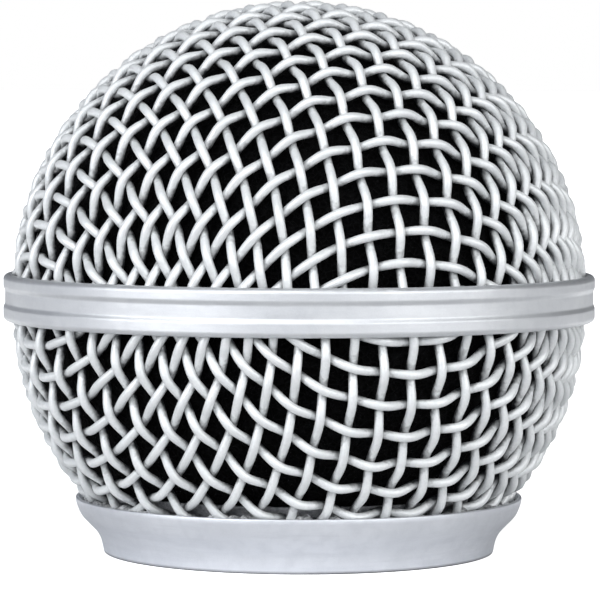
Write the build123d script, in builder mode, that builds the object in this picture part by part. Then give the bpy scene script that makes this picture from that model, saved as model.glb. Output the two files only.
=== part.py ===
"""Ball grille of a hand-held dynamic microphone.

Two pressed hemispheres of plain-woven wire are held in a centre band. The lower one ends in a flared
collar that screws onto the microphone's handle, and both are lined with foam.

Frame: millimetres, +Z up, origin at the centre of the collar's bottom face.
"""

import os
from itertools import groupby
from math import acos, atan2, cos, radians, sin, sqrt

from build123d import *

# --- driving dimensions ---------------------------------------------------------------------------

wire_d = 0.76
mesh_r = 24.0  # sphere through the middle of the woven layer
layer_gap = 0.04  # between the warp and the weft, laid one over the other
clearance = 0.08  # between the woven layer and the parts beside it
dome_z = 22.84  # centre of the upper mesh's sphere
bowl_z = 21.02  # centre of the lower mesh's sphere

band_r = 25.5
band_low = 20.05
band_high = 24.05
upper_lip_h = 1.06
lower_lip_h = 1.19
groove_depth = 0.14
shoulder_h = 0.31  # each side of the groove slopes over this height
shoulder_bend_r = 0.4
band_edge_r = 0.45
web_h = 0.9  # rib inside the band, between the two mesh rims
web_inner_r = 23.0
rim_gap = 0.42  # between each mesh's wire ends and the rib
rim_ring_t = 0.8
rim_ring_h = 1.0

rim_r = 19.3
rim_z = 4.82
lip_inner_r = 19.0
lip_taper_z = 4.45
shoulder_r, shoulder_z = 18.93, 3.35
throat_r, throat_z = 17.2, 1.6
foot_r = 16.85
foot_edge_r = 0.15
collar_bend_r = 2.5
lip_bend_r = 1.0
rim_edge_r = 0.1
socket_floor_r = 17.7
socket_wall_r, socket_wall_z = 18.3, 3.95

bore_h = 3.3
bore_chamfer = 0.3
thread_crest_r = 15.06
thread_pitch = 1.0
thread_depth = 0.4
thread_opening = 0.4
thread_root = 0.14

neck_z = 3.95  # the lower mesh's wires end here, in the collar
neck_ring_low = 4.0
neck_ring_high = 5.6
neck_ring_t = 0.7
mouth_r = 15.3  # bore of the neck ring and of the lower foam, which the capsule passes
bead_w = 0.42
bead_top_z = 4.5

foam_t = 3.0
foam_gap = 0.1

# Each half is a flat sheet of plain weave drawn over a sphere: its turn about Z, the wires' pitches
# at its middle, the shares of a pitch by which the first warp and weft wire miss that middle, the
# tilt of the middle off the pole about Y and X, its stretch towards the rim, how much the pitch grows
# over ten wires on the two sides of the middle, the lean of its middle lines towards each other, and
# its twist towards the rim.
dome_weave = {
    "turn": radians(23.1),
    "pitch": (2.469, 2.547),
    "offset": (0.493, 0.89),
    "tilt": (-0.014, -0.04),
    "draw": 0.016,
    "growth": ((0.0, 0.011), (-0.017, -0.003)),
    "skew": -0.0125,
    "twist": -0.005,
}
bowl_weave = {
    "turn": radians(24.4),
    "pitch": (2.509, 2.701),
    "offset": (-0.665, 0.625),
    "tilt": (0.128, -0.133),
    "draw": -0.009,
    "growth": ((0.043, 0.008), (0.0115, 0.0025)),
    "skew": -0.076,
    "twist": 0.021,
}
wires_each_side = 18
sheet_reach = 1.95  # radians from the middle of the sheet, along its two middle lines
fold_limit = 1.55  # where the product of a crossing's two angles passes this, its cell has folded shut

# --- sizes that follow ----------------------------------------------------------------------------

warp_r = mesh_r + (wire_d + layer_gap) / 2
weft_r = mesh_r - (wire_d + layer_gap) / 2
socket_r = warp_r + wire_d / 2 + clearance
lining_r = weft_r - wire_d / 2 - clearance
band_mid = (band_low + band_high) / 2
web_low = band_mid - web_h / 2
web_high = band_mid + web_h / 2
rim_ring_outer_r = lining_r - clearance
rim_ring_inner_r = rim_ring_outer_r - rim_ring_t
upper_ring_top = web_high + rim_ring_h
lower_ring_bottom = web_low - rim_ring_h
bead_inner_r = warp_r + wire_d / 2 + clearance / 2
foam_r = lining_r - foam_gap
foam_inner_r = foam_r - foam_t


def sphere_radius(sphere_r, centre_z, z):
    """Distance from the Z axis of a sphere's surface at height z."""
    return sqrt(sphere_r**2 - (z - centre_z) ** 2)


# --- the woven sheets -----------------------------------------------------------------------------


def normalised(p):
    length = sqrt(p[0] ** 2 + p[1] ** 2 + p[2] ** 2)
    return (p[0] / length, p[1] / length, p[2] / length)


def quadrant(warp_angles, weft_angles, skew):
    """Crossings of one quarter of a square-woven sheet laid over a unit sphere.

    Every cell keeps the length of its sides, so it is a parallelogram on the sphere: its outer corner
    is its inner one turned half a turn about the middle of the other two. The sheet's two middle lines
    are great circles, each turned by the skew towards the other.
    """
    net = {(0, 0): (0.0, 0.0, 1.0)}
    for i, angle in enumerate(warp_angles, 1):
        net[i, 0] = (sin(angle) * cos(skew), sin(angle) * sin(skew), cos(angle))
    for j, angle in enumerate(weft_angles, 1):
        net[0, j] = (sin(angle) * sin(skew), sin(angle) * cos(skew), cos(angle))
    for i in range(len(warp_angles)):
        for j in range(len(weft_angles)):
            inner, a, b = net[i, j], net[i + 1, j], net[i, j + 1]
            axis = normalised((a[0] + b[0], a[1] + b[1], a[2] + b[2]))
            twice = 2 * sum(axis[k] * inner[k] for k in range(3))
            net[i + 1, j + 1] = tuple(twice * axis[k] - inner[k] for k in range(3))
    return net


def wire_angles(pitch, offset, growth):
    """Angle from the sheet's middle, and number, of every wire of one set."""
    wires = []
    for number in range(-wires_each_side, wires_each_side + 1):
        place = number + offset
        side = growth[0] if place < 0 else growth[1]
        angle = place * pitch * (1 + side * abs(place) / 10) / mesh_r
        if abs(angle) < sheet_reach:
            wires.append((angle, number))
    return wires


def drawn(point, weave):
    """A crossing after drawing: moved towards or from the rim, tilted and turned."""
    polar = acos(max(-1.0, min(1.0, point[2])))
    bearing = atan2(point[1], point[0]) + weave["twist"] * polar**2
    polar *= 1 + weave["draw"] * polar**2
    x, y, z = sin(polar) * cos(bearing), sin(polar) * sin(bearing), cos(polar)
    about_y, about_x = weave["tilt"]
    x, z = x * cos(about_y) + z * sin(about_y), z * cos(about_y) - x * sin(about_y)
    y, z = y * cos(about_x) + z * sin(about_x), z * cos(about_x) - y * sin(about_x)
    turn = weave["turn"]
    return (x * cos(turn) - y * sin(turn), x * sin(turn) + y * cos(turn), z)


def crossings(weave):
    """Point on the unit sphere of each crossing, by the numbers of its warp and its weft wire."""
    warp = wire_angles(weave["pitch"][0], weave["offset"][0], weave["growth"][0])
    weft = wire_angles(weave["pitch"][1], weave["offset"][1], weave["growth"][1])
    found = {}
    for warp_side in (1, -1):
        for weft_side in (1, -1):
            u = sorted((angle * warp_side, n) for angle, n in warp if angle * warp_side > 0)
            v = sorted((angle * weft_side, n) for angle, n in weft if angle * weft_side > 0)
            skew = weave["skew"] * warp_side * weft_side
            net = quadrant([angle for angle, n in u], [angle for angle, n in v], skew)
            for i, (u_angle, warp_number) in enumerate(u, 1):
                for j, (v_angle, weft_number) in enumerate(v, 1):
                    if u_angle * v_angle < fold_limit:
                        x, y, z = net[i, j]
                        point = drawn((x * warp_side, y * weft_side, z), weave)
                        found[warp_number, weft_number] = point
    return found


def cut_between(p, q, height):
    """The point at a height between two neighbouring crossings of a wire."""
    share = (height - p[2]) / (q[2] - p[2])
    return normalised(tuple(p[k] + share * (q[k] - p[k]) for k in range(3)))


def runs_between(points, low, high):
    """The stretches of one wire between two heights. An opening at the pole leaves two of them."""
    runs, run = [], []
    for p, q in zip(points, points[1:]):
        p_inside, q_inside = low < p[2] < high, low < q[2] < high
        if p_inside:
            run.append(p)
        if p_inside != q_inside:
            run.append(cut_between(p, q, low if min(p[2], q[2]) < low else high))
            if p_inside:
                runs.append(run)
                run = []
    return [run for run in runs if len(run) > 2]


def wire_arcs(weave, wire_set, low, high):
    """Start, middle and end of each wire's run. wire_set is 0 for the warp and 1 for the weft."""
    found = crossings(weave)
    arcs = []
    for _, cells in groupby(sorted(found, key=lambda c: (c[wire_set], c)), lambda c: c[wire_set]):
        for run in runs_between([found[c] for c in cells], low, high):
            arcs.append((run[0], run[len(run) // 2], run[-1]))
    return arcs


def make_wires(arcs, layer_r, centre_z, side):
    """Round wires along arcs of one sphere. side is 1 for the upper half and -1 for the lower."""
    with BuildPart() as wires:
        for arc in arcs:
            points = [(x * layer_r, y * layer_r, centre_z + side * z * layer_r) for x, y, z in arc]
            with BuildLine() as path:
                ThreePointArc(*points)
            with BuildSketch(Plane(origin=path.line @ 0, z_dir=path.line % 0)):
                Circle(wire_d / 2)
            sweep(path=path.line)
    return wires


def half_mesh(weave, centre_z, side, rim_height, neck_height):
    """The warp and the weft of one half, each one node."""
    groups = []
    for wire_set, layer_r in ((0, warp_r), (1, weft_r)):
        low = (rim_height - centre_z) * side / layer_r
        high = (neck_height - centre_z) * side / layer_r
        groups.append(make_wires(wire_arcs(weave, wire_set, low, high), layer_r, centre_z, side))
    return groups


above_everything = dome_z + 2 * mesh_r
upper_mesh_warp, upper_mesh_weft = half_mesh(
    dome_weave, dome_z, 1, web_high + rim_gap, above_everything
)
lower_mesh_warp, lower_mesh_weft = half_mesh(bowl_weave, bowl_z, -1, web_low - rim_gap, neck_z)


# --- centre band and the rings that clamp the mesh rims in it -------------------------------------


def make_centre_band():
    groove_r = band_r - groove_depth
    lower_lip_z = band_low + lower_lip_h
    upper_lip_z = band_high - upper_lip_h
    with BuildPart() as band:
        with BuildSketch(Plane.XZ):
            with BuildLine():
                FilletPolyline(
                    (socket_r, band_low),
                    (band_r, band_low),
                    (band_r, lower_lip_z),
                    (groove_r, lower_lip_z + shoulder_h),
                    (groove_r, upper_lip_z - shoulder_h),
                    (band_r, upper_lip_z),
                    (band_r, band_high),
                    (socket_r, band_high),
                    radius=[band_edge_r, *[shoulder_bend_r] * 4, band_edge_r],
                )
                Polyline(
                    (socket_r, band_high),
                    (socket_r, web_high),
                    (web_inner_r, web_high),
                    (web_inner_r, web_low),
                    (socket_r, web_low),
                    (socket_r, band_low),
                )
            make_face()
        revolve(axis=Axis.Z)
    return band


centre_band = make_centre_band()


def make_ring(outer_r, inner_r, low, high):
    with BuildPart() as ring:
        with BuildSketch(Plane.XY.offset(low)):
            Circle(outer_r)
            Circle(inner_r, mode=Mode.SUBTRACT)
        extrude(amount=high - low)
    return ring


upper_rim_ring = make_ring(rim_ring_outer_r, rim_ring_inner_r, web_high, upper_ring_top)
lower_rim_ring = make_ring(rim_ring_outer_r, rim_ring_inner_r, lower_ring_bottom, web_low)


def make_rim_bead(ring_face_z, side):
    """Solder fillet in the corner between a mesh rim and the end of its rim ring."""
    with BuildPart() as bead:
        with BuildSketch(Plane.XZ):
            with BuildLine():
                Polyline(
                    (rim_ring_outer_r, ring_face_z),
                    (rim_ring_outer_r - bead_w, ring_face_z),
                    (rim_ring_outer_r, ring_face_z + side * bead_w),
                    close=True,
                )
            make_face()
        revolve(axis=Axis.Z)
    return bead


upper_solder_bead = make_rim_bead(upper_ring_top, 1)
lower_solder_bead = make_rim_bead(lower_ring_bottom, -1)


# --- base collar, and the ring and the solder that hold the lower mesh's neck in it ---------------


def make_base_collar():
    with BuildPart() as collar:
        with BuildSketch(Plane.XZ):
            with BuildLine():
                FilletPolyline(
                    (thread_crest_r + bore_chamfer, 0),
                    (foot_r, 0),
                    (throat_r, throat_z),
                    (shoulder_r, shoulder_z),
                    (rim_r, lip_taper_z),
                    (rim_r, rim_z),
                    (lip_inner_r, rim_z),
                    radius=[foot_edge_r, collar_bend_r, collar_bend_r, lip_bend_r, rim_edge_r],
                )
                Polyline(
                    (lip_inner_r, rim_z),
                    (socket_wall_r, socket_wall_z),
                    (socket_floor_r, bore_h),
                    (thread_crest_r, bore_h),
                    (thread_crest_r, bore_chamfer),
                    (thread_crest_r + bore_chamfer, 0),
                )
            make_face()
        revolve(axis=Axis.Z)
        # the thread's groove runs out through both ends of the bore
        with BuildLine() as helix:
            Helix(
                thread_pitch,
                bore_h + 2 * thread_pitch,
                thread_crest_r,
                center=(0, 0, -thread_pitch),
            )
        flank = (thread_opening - thread_root) / 2 / thread_depth
        overcut = thread_depth / 2
        mouth_half = thread_opening / 2 + flank * overcut
        with BuildSketch(Plane(origin=helix.line @ 0, x_dir=(1, 0, 0), z_dir=helix.line % 0)):
            Polygon(
                (-overcut, -mouth_half),
                (thread_depth, -thread_root / 2),
                (thread_depth, thread_root / 2),
                (-overcut, mouth_half),
                align=None,
            )
        sweep(path=helix.line, is_frenet=True, mode=Mode.SUBTRACT)
    return collar


base_collar = make_base_collar()


def make_neck_ring():
    """Coned ring inside the mesh, which holds the neck's wire ends down in the collar."""
    low_r = sphere_radius(lining_r, bowl_z, neck_ring_low)
    high_r = sphere_radius(lining_r, bowl_z, neck_ring_high)
    with BuildPart() as ring:
        with BuildSketch(Plane.XZ):
            with BuildLine():
                Polyline(
                    (mouth_r, neck_ring_low),
                    (low_r, neck_ring_low),
                    (high_r, neck_ring_high),
                    (high_r - neck_ring_t, neck_ring_high),
                    (mouth_r, neck_ring_low + neck_ring_t),
                    close=True,
                )
            make_face()
        revolve(axis=Axis.Z)
    return ring


neck_ring = make_neck_ring()


def make_neck_bead():
    """Solder that fills the gap between the collar's lip and the mesh."""
    wall_slope = (lip_inner_r - socket_wall_r) / (rim_z - socket_wall_z)
    wall_r_at_top = socket_wall_r + wall_slope * (bead_top_z - socket_wall_z)
    with BuildPart() as bead:
        with BuildSketch(Plane.XZ):
            with BuildLine():
                Polyline(
                    (sphere_radius(bead_inner_r, bowl_z, socket_wall_z), socket_wall_z),
                    (socket_wall_r, socket_wall_z),
                    (wall_r_at_top, bead_top_z),
                    (sphere_radius(bead_inner_r, bowl_z, bead_top_z), bead_top_z),
                    close=True,
                )
            make_face()
        revolve(axis=Axis.Z)
    return bead


neck_solder_bead = make_neck_bead()


# --- foam linings ---------------------------------------------------------------------------------


def make_upper_foam():
    step_z = upper_ring_top + bead_w + foam_gap
    seam_z = band_mid + foam_gap / 2
    with BuildPart() as foam:
        with BuildSketch(Plane.XZ):
            with BuildLine():
                ThreePointArc(
                    (0, dome_z + foam_r),
                    (foam_r * sin(radians(45)), dome_z + foam_r * cos(radians(45))),
                    (sphere_radius(foam_r, dome_z, step_z), step_z),
                )
                Polyline(
                    (sphere_radius(foam_r, dome_z, step_z), step_z),
                    (rim_ring_inner_r - foam_gap, step_z),
                    (rim_ring_inner_r - foam_gap, seam_z),
                    (sphere_radius(foam_inner_r, dome_z, seam_z), seam_z),
                )
                ThreePointArc(
                    (sphere_radius(foam_inner_r, dome_z, seam_z), seam_z),
                    (foam_inner_r * sin(radians(45)), dome_z + foam_inner_r * cos(radians(45))),
                    (0, dome_z + foam_inner_r),
                )
                Line((0, dome_z + foam_inner_r), (0, dome_z + foam_r))
            make_face()
        revolve(axis=Axis.Z)
    return foam


def make_lower_foam():
    step_z = lower_ring_bottom - bead_w - foam_gap
    seam_z = band_mid - foam_gap / 2
    bottom_z = neck_ring_high + foam_gap
    mouth_z = bowl_z - sqrt(foam_inner_r**2 - mouth_r**2)
    middle_z = (bottom_z + step_z) / 2
    with BuildPart() as foam:
        with BuildSketch(Plane.XZ):
            with BuildLine():
                ThreePointArc(
                    (sphere_radius(foam_r, bowl_z, step_z), step_z),
                    (sphere_radius(foam_r, bowl_z, middle_z), middle_z),
                    (sphere_radius(foam_r, bowl_z, bottom_z), bottom_z),
                )
                Polyline(
                    (sphere_radius(foam_r, bowl_z, bottom_z), bottom_z),
                    (mouth_r, bottom_z),
                    (mouth_r, mouth_z),
                )
                ThreePointArc(
                    (mouth_r, mouth_z),
                    (sphere_radius(foam_inner_r, bowl_z, middle_z), middle_z),
                    (sphere_radius(foam_inner_r, bowl_z, seam_z), seam_z),
                )
                Polyline(
                    (sphere_radius(foam_inner_r, bowl_z, seam_z), seam_z),
                    (rim_ring_inner_r - foam_gap, seam_z),
                    (rim_ring_inner_r - foam_gap, step_z),
                    (sphere_radius(foam_r, bowl_z, step_z), step_z),
                )
            make_face()
        revolve(axis=Axis.Z)
    return foam


upper_foam_liner = make_upper_foam()
lower_foam_liner = make_lower_foam()

# --- files ----------------------------------------------------------------------------------------

parts = {
    "upper_mesh_warp_wires": upper_mesh_warp,
    "upper_mesh_weft_wires": upper_mesh_weft,
    "lower_mesh_warp_wires": lower_mesh_warp,
    "lower_mesh_weft_wires": lower_mesh_weft,
    "centre_band": centre_band,
    "upper_rim_ring": upper_rim_ring,
    "lower_rim_ring": lower_rim_ring,
    "upper_solder_bead": upper_solder_bead,
    "lower_solder_bead": lower_solder_bead,
    "base_collar": base_collar,
    "neck_ring": neck_ring,
    "neck_solder_bead": neck_solder_bead,
    "upper_foam_liner": upper_foam_liner,
    "lower_foam_liner": lower_foam_liner,
}

os.makedirs("parts", exist_ok=True)
for name, piece in parts.items():
    piece.part.label = name
    export_step(piece.part, f"parts/{name}.step")
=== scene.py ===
"""Looks of a dynamic microphone's ball grille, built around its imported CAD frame.

The crimped wire, the foam and the solder are modelled here. The centre band, the collar and the rings
inside keep their CAD shape and get their paint. Shapes are worked out in millimetres, with +Z up and the
origin at the centre of the collar's bottom face, and are written to meshes in metres.
"""

import random
from math import acos, atan2, cos, pi, radians, sin, sqrt

import bpy
from mathutils import Matrix, Vector, noise


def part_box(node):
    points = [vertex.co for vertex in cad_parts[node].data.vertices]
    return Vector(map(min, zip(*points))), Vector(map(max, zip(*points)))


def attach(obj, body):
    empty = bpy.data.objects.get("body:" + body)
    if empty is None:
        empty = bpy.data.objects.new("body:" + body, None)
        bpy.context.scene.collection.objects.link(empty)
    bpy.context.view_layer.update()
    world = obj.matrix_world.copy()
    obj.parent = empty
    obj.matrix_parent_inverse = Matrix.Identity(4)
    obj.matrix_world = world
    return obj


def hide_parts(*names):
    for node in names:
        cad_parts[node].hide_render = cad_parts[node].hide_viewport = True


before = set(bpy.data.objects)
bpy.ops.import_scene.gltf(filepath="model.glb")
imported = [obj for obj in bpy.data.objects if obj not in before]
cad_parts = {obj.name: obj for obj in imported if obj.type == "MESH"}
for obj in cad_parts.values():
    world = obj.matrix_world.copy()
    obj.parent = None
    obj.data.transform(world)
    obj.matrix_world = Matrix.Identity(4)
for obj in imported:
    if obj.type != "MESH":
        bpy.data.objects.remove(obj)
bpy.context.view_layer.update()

MM = 0.001
noise_seed = 1
noise.seed_set(noise_seed)  # unseeded, noise_vector follows the clock

# --- sizes read from the frame --------------------------------------------------------------------


def cad_top(node):
    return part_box(node)[1].z / MM


def cad_bottom(node):
    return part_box(node)[0].z / MM


def cad_radius(node):
    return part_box(node)[1].x / MM


band_top = cad_top("centre_band")
band_mid = (cad_bottom("centre_band") + band_top) / 2
neck_ring_high = cad_top("neck_ring")
upper_ring_top = cad_top("upper_rim_ring")
lower_ring_bottom = cad_bottom("lower_rim_ring")
rim_ring_outer_r = cad_radius("upper_rim_ring")

# --- driving sizes of the pieces made here --------------------------------------------------------

wire_d = 0.76
mesh_r = 24.0  # sphere through the middle of the woven layer
crimp = 0.39  # how far a wire's middle swings to each side of that sphere
foam_r = 23.06
foam_t = 3.0
foam_gap = 0.1
rim_gap = 0.87  # between the band's middle and the cut ends of the wires
neck_z = 3.95  # the lower mesh's wires end here, in the collar
mouth_r = 15.3
bowl_drop = 1.03  # from the band's middle down to the lower sphere's centre
bead_w = 0.42
bead_rise = 0.7  # height of a rim bead's middle, as a share of its width
neck_bead_foot_r = 18.3
neck_bead_shoulder_r = 18.7
neck_bead_crown = 0.25
rim_ring_t = 0.8

dome_z = cad_top("upper_foam_liner") - foam_r
bowl_z = band_mid - bowl_drop

# Each half is a flat sheet of plain weave drawn over a sphere: its turn about Z, the wires' pitches
# at its middle, the shares of a pitch by which the first warp and weft wire miss that middle, the
# tilt of the middle off the pole about Y and X, its stretch towards the rim, how much the pitch grows
# over ten wires on the two sides of the middle, the lean of its middle lines towards each other, and
# its twist towards the rim.
dome_weave = {
    "turn": radians(23.1),
    "pitch": (2.469, 2.547),
    "offset": (0.493, 0.89),
    "tilt": (-0.014, -0.04),
    "draw": 0.016,
    "growth": ((0.0, 0.011), (-0.017, -0.003)),
    "skew": -0.0125,
    "twist": -0.005,
}
bowl_weave = {
    "turn": radians(24.4),
    "pitch": (2.509, 2.701),
    "offset": (-0.665, 0.625),
    "tilt": (0.128, -0.133),
    "draw": -0.009,
    "growth": ((0.043, 0.008), (0.0115, 0.0025)),
    "skew": -0.076,
    "twist": 0.021,
}
wires_each_side = 18
sheet_reach = 1.95  # radians from the middle of the sheet, along its two middle lines
fold_limit = 1.55  # where the product of a crossing's two angles passes this, its cell has folded shut

wire_sides = 12
steps_per_cell = 8
hand_shift = 0.03  # how far a crossing strays from its place in the sheet

foam_step = 0.45  # longest side of a face along the foam's outline
foam_around = 320
foam_sink = 0.1  # keeps the foam's swells clear of the wire
bead_step = 0.12
bead_around = 720
rim_bead_lumps = (1.4, 0.06)  # their size and height
neck_bead_lumps = (1.0, 0.5)

# --- the woven sheets -----------------------------------------------------------------------------


def quadrant(warp_angles, weft_angles, skew):
    """Crossings of one quarter of a square-woven sheet laid over a unit sphere.

    Every cell keeps the length of its sides, so it is a parallelogram on the sphere: its outer corner
    is its inner one turned half a turn about the middle of the other two.
    """
    net = {(0, 0): Vector((0, 0, 1))}
    for i, angle in enumerate(warp_angles, 1):
        net[i, 0] = Vector((sin(angle) * cos(skew), sin(angle) * sin(skew), cos(angle)))
    for j, angle in enumerate(weft_angles, 1):
        net[0, j] = Vector((sin(angle) * sin(skew), sin(angle) * cos(skew), cos(angle)))
    for i in range(len(warp_angles)):
        for j in range(len(weft_angles)):
            inner, axis = net[i, j], (net[i + 1, j] + net[i, j + 1]).normalized()
            net[i + 1, j + 1] = 2 * axis.dot(inner) * axis - inner
    return net


def wire_angles(pitch, offset, growth):
    """Angle from the sheet's middle, and number, of every wire of one set."""
    wires = []
    for number in range(-wires_each_side, wires_each_side + 1):
        place = number + offset
        side = growth[0] if place < 0 else growth[1]
        angle = place * pitch * (1 + side * abs(place) / 10) / mesh_r
        if abs(angle) < sheet_reach:
            wires.append((angle, number))
    return wires


def drawn(point, weave):
    """A crossing after drawing: moved towards or from the rim, tilted and turned."""
    polar = acos(max(-1.0, min(1.0, point.z)))
    bearing = atan2(point.y, point.x) + weave["twist"] * polar**2
    polar *= 1 + weave["draw"] * polar**2
    x, y, z = sin(polar) * cos(bearing), sin(polar) * sin(bearing), cos(polar)
    about_y, about_x = weave["tilt"]
    x, z = x * cos(about_y) + z * sin(about_y), z * cos(about_y) - x * sin(about_y)
    y, z = y * cos(about_x) + z * sin(about_x), z * cos(about_x) - y * sin(about_x)
    turn = weave["turn"]
    return Vector((x * cos(turn) - y * sin(turn), x * sin(turn) + y * cos(turn), z))


def crossings(weave):
    """Point on the unit sphere of each crossing, by the numbers of its warp and its weft wire."""
    warp = wire_angles(weave["pitch"][0], weave["offset"][0], weave["growth"][0])
    weft = wire_angles(weave["pitch"][1], weave["offset"][1], weave["growth"][1])
    found = {}
    for warp_side in (1, -1):
        for weft_side in (1, -1):
            u = sorted((angle * warp_side, n) for angle, n in warp if angle * warp_side > 0)
            v = sorted((angle * weft_side, n) for angle, n in weft if angle * weft_side > 0)
            skew = weave["skew"] * warp_side * weft_side
            net = quadrant([angle for angle, n in u], [angle for angle, n in v], skew)
            for i, (u_angle, warp_number) in enumerate(u, 1):
                for j, (v_angle, weft_number) in enumerate(v, 1):
                    if u_angle * v_angle < fold_limit:
                        x, y, z = net[i, j]
                        point = drawn(Vector((x * warp_side, y * weft_side, z)), weave)
                        found[warp_number, weft_number] = point
    return found


def strayed(found, seed):
    """The same crossings, each a little off its place, as in a sheet that has been drawn over a form."""
    chance = random.Random(seed)
    moved = {}
    for cell in sorted(found):
        shift = Vector([chance.gauss(0, hand_shift / mesh_r) for _ in range(3)])
        moved[cell] = (found[cell] + shift).normalized()
    return moved


def spline_point(p0, p1, p2, p3, t):
    """Catmull-Rom point between p1 and p2, put back on the unit sphere."""
    point = (
        2 * p1
        + (p2 - p0) * t
        + (2 * p0 - 5 * p1 + 4 * p2 - p3) * t**2
        + (3 * p1 - p0 - 3 * p2 + p3) * t**3
    )
    return point.normalized()


def wire_line(points, first_over):
    """A wire's middle as (unit point, radius) pairs, over one crossing wire and under the next."""
    ends = [2 * points[0] - points[1], *points, 2 * points[-1] - points[-2]]
    line = []
    for cell in range(len(points) - 1):
        over = first_over if cell % 2 == 0 else -first_over
        for step in range(steps_per_cell):
            t = step / steps_per_cell
            point = spline_point(*ends[cell : cell + 4], t)
            line.append((point, mesh_r + crimp * over * cos(pi * t)))
    return line


def cut_runs(line, low, high):
    """The stretches of a wire between two heights above its sphere's centre, with their cut ends."""
    runs, run = [], []
    for (p, p_r), (q, q_r) in zip(line, line[1:]):
        p_z, q_z = p.z * p_r, q.z * q_r
        p_inside, q_inside = low < p_z < high, low < q_z < high
        if p_inside:
            run.append(p * p_r)
        if p_inside != q_inside:
            height = low if min(p_z, q_z) < low else high
            share = (height - p_z) / (q_z - p_z)
            run.append((p * p_r).lerp(q * q_r, share))
            if p_inside:
                runs.append(run)
                run = []
    return [run for run in runs if len(run) > steps_per_cell]


def add_tube(run, centre, side, verts, faces):
    """A round capped wire along a run. side is 1 for the upper half and -1 for the lower."""
    points = [Vector((p.x, p.y, p.z * side)) for p in run]
    start = len(verts)
    for n, point in enumerate(points):
        along = (points[min(n + 1, len(points) - 1)] - points[max(n - 1, 0)]).normalized()
        across = along.cross(point).normalized()
        outward = across.cross(along)
        for k in range(wire_sides):
            angle = 2 * pi * k / wire_sides
            offset = (across * cos(angle) + outward * sin(angle)) * wire_d / 2
            verts.append((centre + point + offset) * MM)
    for n in range(len(points) - 1):
        for k in range(wire_sides):
            a = start + n * wire_sides + k
            b = start + n * wire_sides + (k + 1) % wire_sides
            faces.append((a, b, b + wire_sides, a + wire_sides))
    last = start + (len(points) - 1) * wire_sides
    faces.append(tuple(start + k for k in reversed(range(wire_sides))))
    faces.append(tuple(last + k for k in range(wire_sides)))


def add_dive_shade_reach(piece, centre_z):
    """How far out of the woven layer each point stands, 0 at its back to 1 at its crowns; it places painted
    shade.
    """
    reach = piece.data.attributes.new("dive_shade_reach", "FLOAT", "POINT")
    centre = Vector((0, 0, centre_z * MM))
    for vertex, value in zip(piece.data.vertices, reach.data):
        depth = (vertex.co - centre).length / MM - mesh_r + crimp
        value.value = max(0.0, min(1.0, depth / (2 * crimp)))


def make_object(name, verts, faces, material):
    mesh = bpy.data.meshes.new(name)
    mesh.from_pydata(verts, [], faces)
    mesh.validate()
    mesh.polygons.foreach_set("use_smooth", [True] * len(mesh.polygons))
    mesh.materials.append(material)
    made = bpy.data.objects.new(name, mesh)
    bpy.context.scene.collection.objects.link(made)
    return made


def make_woven_set(name, found, wire_set, centre_z, side, low, high, material):
    """All the wires of one set, as one piece. wire_set is 0 for the warp and 1 for the weft."""
    verts, faces = [], []
    for number in sorted({cell[wire_set] for cell in found}):
        cells = sorted(cell for cell in found if cell[wire_set] == number)
        if len(cells) < 3:
            continue
        warp_over = 1 if sum(cells[0]) % 2 == 0 else -1
        line = wire_line([found[c] for c in cells], warp_over if wire_set == 0 else -warp_over)
        for run in cut_runs(line, low, high):
            add_tube(run, Vector((0, 0, centre_z)), side, verts, faces)
    woven = make_object(name, verts, faces, material)
    add_dive_shade_reach(woven, centre_z)
    return woven


def make_half_mesh(half, weave, centre_z, side, rim_height, neck_height, seed, material):
    found = strayed(crossings(weave), seed)
    low = (rim_height - centre_z) * side
    high = (neck_height - centre_z) * side
    for wire_set, thread in enumerate(("warp", "weft")):
        node = f"{half}_mesh_{thread}_wires"
        woven = make_woven_set(
            f"{half}_woven_{thread}", found, wire_set, centre_z, side, low, high, material
        )
        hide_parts(node)
        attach(woven, "root")


# --- materials ------------------------------------------------------------------------------------


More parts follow.
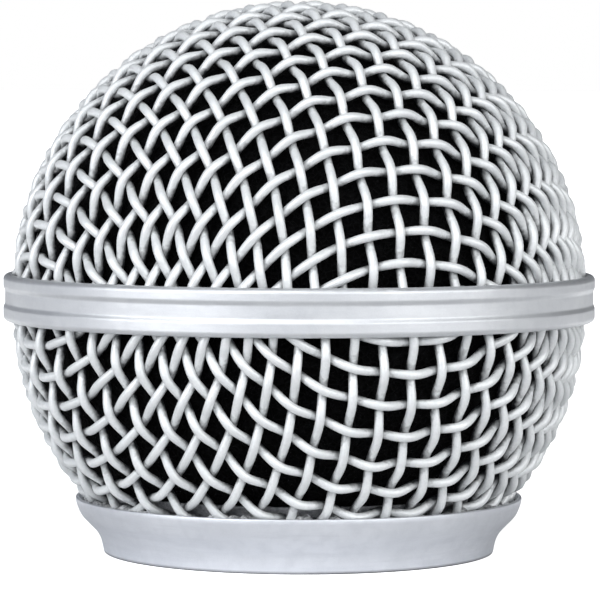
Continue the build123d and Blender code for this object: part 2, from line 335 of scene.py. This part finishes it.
class Nodes:
    """A node tree, with short calls to add its nodes and join them."""

    def __init__(self, tree):
        self.tree = tree
        self.place = self.add("ShaderNodeTexCoord").outputs["Object"]

    def add(self, kind, settings=None, **sockets):
        node = self.tree.nodes.new(kind)
        for key, value in (settings or {}).items():
            setattr(node, key, value)
        for key, value in sockets.items():
            self.set(node, key.replace("_", " "), value)
        return node

    def set(self, node, socket, value):
        if isinstance(value, bpy.types.NodeSocket):
            self.tree.links.new(value, node.inputs[socket])
        else:
            node.inputs[socket].default_value = value

    def noise(self, size_mm, detail=3.0, roughness=0.5, stretch=(1, 1, 1)):
        """Noise with features of about that size, stretched along the axes."""
        mapping = self.add("ShaderNodeMapping", Vector=self.place)
        mapping.inputs["Scale"].default_value = [1 / (size_mm * MM * s) for s in stretch]
        texture = self.add("ShaderNodeTexNoise", Vector=mapping.outputs[0], Scale=1.0)
        texture.inputs["Detail"].default_value = detail
        texture.inputs["Roughness"].default_value = roughness
        return texture.outputs["Fac"]

    def ranged(self, value, low, high, out_low, out_high):
        node = self.add("ShaderNodeMapRange", Value=value)
        limits = {"From Min": low, "From Max": high, "To Min": out_low, "To Max": out_high}
        for socket, number in limits.items():
            node.inputs[socket].default_value = number
        return node.outputs[0]

    def math(self, operation, a, b):
        node = self.add("ShaderNodeMath", {"operation": operation})
        self.set(node, 0, a)
        self.set(node, 1, b)
        return node.outputs[0]

    def mix(self, factor, a, b):
        node = self.add("ShaderNodeMix", {"data_type": "RGBA"})
        self.set(node, 0, factor)
        self.set(node, 6, a)
        self.set(node, 7, b)
        return node.outputs[2]

    def ramp(self, value, *stops):
        """Colour by value. Each stop is a position and a colour."""
        node = self.add("ShaderNodeValToRGB", Fac=value)
        while len(node.color_ramp.elements) < len(stops):
            node.color_ramp.elements.new(0.5)
        for element, (position, colour) in zip(node.color_ramp.elements, stops):
            element.position = position
            element.color = (*colour, 1)
        return node.outputs[0]

    def bump(self, height, strength, depth_mm, normal=None):
        node = self.add("ShaderNodeBump", Height=height, Strength=strength, Distance=depth_mm * MM)
        if normal is not None:
            self.set(node, "Normal", normal)
        return node.outputs[0]


class Finish(Nodes):
    """The node tree of one material."""

    def __init__(self, name):
        self.material = bpy.data.materials.new(name)
        self.material.use_nodes = True
        super().__init__(self.material.node_tree)
        self.shader = self.tree.nodes["Principled BSDF"]

    def finish(self, **sockets):
        for key, value in sockets.items():
            self.set(self.shader, key.replace("_", " "), value)
        return self.material


# near-black tone for painted shade
painted_shade_tone = (0.035, 0.037, 0.04)
foot_low_z = 0.08  # painted contact shade: the collar's tone darkens below this and is full above foot_high_z
foot_high_z = 0.3
foot_unshaded_share = 0.35


def silver_paint(n, light, dark, grain_mm, metal, rough, unshaded):
    """Satin silver paint: flakes in clear lacquer over steel, slightly orange-peeled and handled.

    The last argument says how much of the paint's own tone shows at a place, from 0, painted shade in a
    near-black tone, to 1.
    """
    patches = n.noise(5.0, detail=4.0)
    smudges = n.noise(3.0, detail=5.0, roughness=0.6, stretch=(3, 3, 0.35))
    flakes = n.noise(0.06, detail=1.0)
    peel = n.noise(grain_mm, detail=3.0)
    middle = [(a + b) / 2 for a, b in zip(light, dark)]
    tone = n.ramp(n.ranged(patches, 0.35, 0.65, 0, 1), (0, middle), (1, light))
    tone = n.mix(n.ranged(smudges, 0.5, 0.72, 0, 0.75), tone, (*dark, 1))
    tone = n.mix(n.ranged(peel, 0.45, 0.7, 0, 0.5), tone, (*dark, 1))
    tone = n.mix(n.ranged(flakes, 0.3, 0.7, 0, 0.2), tone, (0.93, 0.95, 0.97, 1))
    # painted shade: towards a near-black tone where the last argument is low
    tone = n.mix(unshaded, (*painted_shade_tone, 1), tone)
    handled = n.ranged(smudges, 0.3, 0.7, rough - 0.06, rough + 0.06)
    rough = n.math("ADD", handled, n.ranged(flakes, 0.3, 0.7, -0.03, 0.03))
    bump = n.bump(flakes, 0.25, 0.01, n.bump(peel, 0.5, 0.04))
    return n.finish(Base_Color=tone, Roughness=rough, Normal=bump, Metallic=metal)


def wire_paint():
    """Painted shade where a wire dives under its neighbour: the tone darkens towards the back of the woven
    layer.
    """
    n = Finish("satin_silver_wire")
    reach = n.add("ShaderNodeAttribute", {"attribute_name": "dive_shade_reach"}).outputs["Fac"]
    patchy = n.math("ADD", reach, n.ranged(n.noise(0.45, detail=4.0), 0.3, 0.7, -0.2, 0.2))
    # painted shade in the dives, by depth in the woven layer, with random patches
    unshaded = n.ranged(patchy, 0.1, 0.8, 0, 1)
    return silver_paint(n, (0.80, 0.82, 0.822), (0.64, 0.66, 0.665), 0.22, 0.2, 0.36, unshaded)


def body_paint(name, light, dark):
    """Painted contact shade: darker at the collar's bottom edge, all round."""
    n = Finish(name)
    height = n.add("ShaderNodeSeparateXYZ", Vector=n.place).outputs["Z"]
    # painted contact shade along the collar's bottom edge
    unshaded = n.ranged(height, foot_low_z * MM, foot_high_z * MM, foot_unshaded_share, 1)
    return silver_paint(n, light, dark, 1.2, 0.72, 0.45, unshaded)


def inner_steel():
    """Turned steel ring, dulled by overspray."""
    n = Finish("dull_inner_steel")
    rings = n.noise(1.2, detail=4.0, stretch=(6, 6, 0.12))
    spray = n.noise(0.5, detail=5.0, roughness=0.7)
    tone = n.ramp(n.ranged(spray, 0.35, 0.7, 0, 1), (0, (0.36, 0.37, 0.39)), (1, (0.9, 0.91, 0.93)))
    rough = n.ranged(rings, 0.3, 0.7, 0.4, 0.62)
    bump = n.bump(rings, 0.3, 0.03, n.bump(spray, 0.4, 0.04))
    return n.finish(Base_Color=tone, Roughness=rough, Normal=bump, Metallic=0.15)


def solder_metal():
    """Lumpy solder under a thin coat of paint; its colour follows the lumps, with painted shade and painted
    glints.
    """
    n = Finish("lumpy_solder")
    lumps = n.noise(0.5, detail=5.0, roughness=0.65)
    pits = n.noise(0.18, detail=3.0)
    # painted shade and painted glints: near black low in the lumps, near white on their crowns
    tone = n.ramp(
        n.ranged(lumps, 0.35, 0.65, 0, 1),
        (0, (0.06, 0.062, 0.065)),
        (0.5, (0.45, 0.46, 0.47)),
        (1, (0.95, 0.96, 0.97)),
    )
    rough = n.ranged(pits, 0.3, 0.7, 0.28, 0.6)
    bump = n.bump(pits, 0.5, 0.05, n.bump(lumps, 0.6, 0.15))
    return n.finish(Base_Color=tone, Roughness=rough, Normal=bump, Metallic=0.45)


def black_foam():
    """Open-cell foam: thin struts round pores of about half a millimetre, the pores darker as painted
    shade.
    """
    n = Finish("black_open_cell_foam")
    edges = {"feature": "DISTANCE_TO_EDGE"}
    cells = n.add("ShaderNodeTexVoronoi", edges, Vector=n.place, Scale=1 / (0.55 * MM))
    struts = n.ranged(cells.outputs["Distance"], 0.0, 0.28, 1.0, 0.0)
    grain = n.noise(0.12, detail=2.0)
    # painted shade: darker inside the pores, lighter on the struts
    tone = n.mix(struts, (0.0009, 0.0009, 0.001, 1), (0.0052, 0.0052, 0.0056, 1))
    rough = n.ranged(grain, 0.3, 0.7, 0.85, 1.0)
    bump = n.bump(struts, 0.9, 0.25)
    return n.finish(Base_Color=tone, Roughness=rough, Normal=bump, Specular_IOR_Level=0.08)


def floor_paint():
    """White sweep that shows paler than the grille, as an overexposed sheet does."""
    n = Finish("pale_floor")
    grain = n.noise(40.0, detail=3.0)
    tone = n.ramp(n.ranged(grain, 0.3, 0.7, 0, 1), (0, (0.9, 0.9, 0.9)), (1, (0.93, 0.93, 0.93)))
    white = (1, 1, 1, 1)
    n.finish(Base_Color=tone, Roughness=0.9, Specular_IOR_Level=0.1)
    n.finish(Emission_Color=white, Emission_Strength=floor_glow)
    bounce = n.add("ShaderNodeBsdfPrincipled", Roughness=1.0, Emission_Color=white)
    bounce.inputs["Base Color"].default_value = (floor_bounce, floor_bounce, floor_bounce, 1)
    behind = n.add("ShaderNodeSeparateXYZ", Vector=n.place).outputs["Y"]
    rise = n.ranged(behind, *glow_rises, 0, floor_back_glow)
    fade = n.ranged(behind, *glow_fades, 1, 0)
    n.set(bounce, "Emission Strength", n.math("MULTIPLY", rise, fade))
    seen = n.add("ShaderNodeLightPath").outputs["Is Camera Ray"]
    choice = n.add("ShaderNodeMixShader", Fac=seen)
    n.set(choice, 1, bounce.outputs[0])
    n.set(choice, 2, n.shader.outputs[0])
    n.set(n.tree.nodes["Material Output"], 0, choice.outputs[0])
    return n.material


# --- foam and solder ------------------------------------------------------------------------------


def arc_profile(sphere_r, centre_z, z_from, z_to, count):
    """Points (radius, height) along a sphere's outline between two heights."""
    angles = [acos((z - centre_z) / sphere_r) for z in (z_from, z_to)]
    points = []
    for n in range(count + 1):
        angle = angles[0] + (angles[1] - angles[0]) * n / count
        points.append((sphere_r * sin(angle), centre_z + sphere_r * cos(angle)))
    return points


def divided(points, step):
    """The same outline with no side longer than a step."""
    fine = []
    for (r0, z0), (r1, z1) in zip(points, points[1:]):
        count = max(1, round(sqrt((r1 - r0) ** 2 + (z1 - z0) ** 2) / step))
        fine += [(r0 + (r1 - r0) * n / count, z0 + (z1 - z0) * n / count) for n in range(count)]
    return [*fine, points[-1]]


def turned(outline, around, shift):
    """Vertices and faces of an outline turned about Z. shift moves each point, in millimetres."""
    verts, faces = [], []
    rows = []
    for r, z in outline:
        count = 1 if r < 1e-6 else around
        row = []
        for k in range(count):
            angle = 2 * pi * k / around
            point = Vector((r * cos(angle), r * sin(angle), z))
            row.append(len(verts))
            verts.append((point + shift(point)) * MM)
        rows.append(row)
    for a, b in zip(rows, rows[1:]):
        for k in range(around):
            m = (k + 1) % around
            corners = [a[k % len(a)], a[m % len(a)], b[m % len(b)], b[k % len(b)]]
            face = list(dict.fromkeys(corners))
            if len(face) > 2:
                faces.append(tuple(face))
    return verts, faces


def foam_shift(point):
    """Small dents and swells of soft foam, which never reach the wire."""
    swell = noise.noise(point / 4.0) * 0.05
    pore = noise.noise(point / 0.6) * 0.05
    inward = point.normalized() * (foam_sink - swell - pore)
    return noise.noise_vector(point / 3.0) * 0.02 - inward


def make_foam(name, node, outline, material):
    verts, faces = turned(divided(outline, foam_step), foam_around, foam_shift)
    foam = make_object(name, verts, faces, material)
    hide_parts(node)
    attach(foam, "root")


def sphere_outline_r(sphere_r, centre_z, z):
    return sqrt(sphere_r**2 - (z - centre_z) ** 2)


def make_foams(material):
    inner_r = foam_r - foam_t
    ring_inner_r = rim_ring_outer_r - rim_ring_t - foam_gap
    step = upper_ring_top + bead_w + foam_gap
    seam = band_mid + foam_gap / 2
    dome = [
        *arc_profile(foam_r, dome_z, dome_z + foam_r, step, 60),
        (ring_inner_r, step),
        (ring_inner_r, seam),
        *arc_profile(inner_r, dome_z, seam, dome_z + inner_r, 60),
    ]
    make_foam("upper_foam", "upper_foam_liner", dome, material)

    step = lower_ring_bottom - bead_w - foam_gap
    seam = band_mid - foam_gap / 2
    bottom = neck_ring_high + foam_gap
    mouth_z = bowl_z - sqrt(inner_r**2 - mouth_r**2)
    bowl = [
        *arc_profile(foam_r, bowl_z, step, bottom, 40),
        (mouth_r, bottom),
        (mouth_r, mouth_z),
        *arc_profile(inner_r, bowl_z, mouth_z, seam, 40),
        (ring_inner_r, seam),
        (ring_inner_r, step),
        (sphere_outline_r(foam_r, bowl_z, step), step),
    ]
    make_foam("lower_foam", "lower_foam_liner", bowl, material)


def make_bead(name, node, outline, lump_mm, height_mm, material):
    """Solder run into a corner: the ring that its CAD solid is, with lumps and low places."""

    def lumps(point):
        lump = noise.noise(point / lump_mm) + 0.5 * noise.noise(point * 2 / lump_mm)
        return Vector((0, 0, lump * height_mm)) + noise.noise_vector(point / lump_mm) * 0.12

    verts, faces = turned(divided(outline, bead_step), bead_around, lumps)
    bead = make_object(name, verts, faces, material)
    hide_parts(node)
    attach(bead, "root")


def make_beads(material):
    for half, face_z, side in (("upper", upper_ring_top, 1), ("lower", lower_ring_bottom, -1)):
        outline = [
            (rim_ring_outer_r, face_z),
            (rim_ring_outer_r - bead_w, face_z),
            (rim_ring_outer_r - bead_w / 2, face_z + side * bead_w * bead_rise),
            (rim_ring_outer_r, face_z + side * bead_w),
            (rim_ring_outer_r, face_z),
        ]
        make_bead(f"{half}_rim_solder", f"{half}_solder_bead", outline, *rim_bead_lumps, material)
    low, high = cad_bottom("neck_solder_bead"), cad_top("neck_solder_bead")
    inner_low_r = sphere_outline_r(mesh_r, bowl_z, low)
    inner_high_r = sphere_outline_r(mesh_r, bowl_z, high)
    outline = [
        (inner_low_r, low),
        (neck_bead_foot_r, low),
        (neck_bead_shoulder_r, high),
        ((inner_high_r + neck_bead_shoulder_r) / 2, high + neck_bead_crown),
        (inner_high_r, high),
        (inner_low_r, low),
    ]
    make_bead("neck_solder", "neck_solder_bead", outline, *neck_bead_lumps, material)


# --- stage ----------------------------------------------------------------------------------------

eye = Vector((0.0732, -327.316, 39.925))
eye_pitch = 0.055525
eye_roll = 0.00261
eye_lens = 227.5
eye_sensor = 36
eye_near = 10
floor_glow = 0.93
floor_bounce = 0.75
floor_back_glow = 0.75
glow_rises = (0.0, 0.05)  # metres behind the grille's axis over which the floor's glow rises and fades
glow_fades = (0.1, 0.35)
floor_half_m = 60.0
left_light = (0.40, 0.47, 0.62)
right_light = (0.34, 0.355, 0.37)
overhead_share = 0.32
front_share = 1.4
behind_share = 0.25
light_spread = 60
key_light = 1.42
left_fill = 2.35
right_fill = 1.9


def make_camera():
    camera = bpy.data.objects.new("camera", bpy.data.cameras.new("camera"))
    camera.data.sensor_width = eye_sensor
    camera.data.lens = eye_lens
    camera.data.clip_start = eye_near * MM
    turn = Matrix.Rotation(pi / 2 - eye_pitch, 4, "X") @ Matrix.Rotation(eye_roll, 4, "Z")
    camera.matrix_world = Matrix.Translation(eye * MM) @ turn
    bpy.context.scene.collection.objects.link(camera)
    bpy.context.scene.camera = camera


def make_floor(material):
    corners = [Vector((x, y, 0)) * floor_half_m for x, y in ((-1, -1), (1, -1), (1, 1), (-1, 1))]
    make_object("floor", corners, [(0, 1, 2, 3)], material)


def add_sun(name, azimuth, elevation, strength):
    """A broad, far soft light. Azimuth 0 is behind the camera and 90 on its right, in degrees."""
    light = bpy.data.lights.new(name, "SUN")
    light.angle = radians(light_spread)
    light.energy = strength
    lamp = bpy.data.objects.new(name, light)
    a, e = radians(azimuth), radians(elevation)
    towards = Vector((sin(a) * cos(e), -cos(a) * cos(e), sin(e)))
    lamp.rotation_euler = towards.to_track_quat("Z", "Y").to_euler()
    bpy.context.scene.collection.objects.link(lamp)


def make_world():
    """Dim light from all round, bluer on the left, darker overhead and behind. The backdrop shows white."""
    world = bpy.data.worlds.new("studio")
    world.use_nodes = True
    n = Nodes(world.node_tree)
    way = n.add("ShaderNodeSeparateXYZ", Vector=n.add("ShaderNodeTexCoord").outputs["Generated"])
    sideways = n.ramp(n.ranged(way.outputs["X"], -1, 1, 0, 1), (0, left_light), (1, right_light))
    upwards = n.ranged(way.outputs["Z"], 0.0, 0.35, 1.0, overhead_share)
    backwards = n.ranged(way.outputs["Y"], -1.0, 0.8, front_share, behind_share)
    dim = n.add("ShaderNodeBackground", Color=sideways, Strength=n.math("MULTIPLY", upwards, backwards))
    white = n.add("ShaderNodeBackground", Color=(1, 1, 1, 1))
    choice = n.add("ShaderNodeMixShader", Fac=n.add("ShaderNodeLightPath").outputs["Is Camera Ray"])
    n.set(choice, 1, dim.outputs[0])
    n.set(choice, 2, white.outputs[0])
    n.set(n.tree.nodes["World Output"], 0, choice.outputs[0])
    bpy.context.scene.world = world


def make_lights():
    make_world()
    add_sun("key", azimuth=-8, elevation=44, strength=key_light)
    add_sun("left_fill", azimuth=-52, elevation=8, strength=left_fill)
    add_sun("right_fill", azimuth=50, elevation=8, strength=right_fill)


def studio():
    bpy.context.scene.view_settings.view_transform = "Standard"
    make_camera()
    make_floor(floor_paint())
    make_lights()


# --- the grille -----------------------------------------------------------------------------------


def paint_cad_nodes(steel):
    for node, material in (
        ("centre_band", body_paint("satin_silver_band", (0.675, 0.69, 0.708), (0.57, 0.585, 0.61))),
        ("base_collar", body_paint("satin_silver_collar", (0.745, 0.765, 0.81), (0.62, 0.64, 0.685))),
        ("upper_rim_ring", steel),
        ("lower_rim_ring", steel),
        ("neck_ring", steel),
    ):
        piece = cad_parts[node]
        piece.data.materials.clear()
        piece.data.materials.append(material)


wire = wire_paint()
above_everything = dome_z + 2 * mesh_r
upper_cut = band_mid + rim_gap
lower_cut = band_mid - rim_gap
make_half_mesh("upper", dome_weave, dome_z, 1, upper_cut, above_everything, seed=1, material=wire)
make_half_mesh("lower", bowl_weave, bowl_z, -1, lower_cut, neck_z, seed=2, material=wire)
make_foams(black_foam())
make_beads(solder_metal())
paint_cad_nodes(inner_steel())
studio()
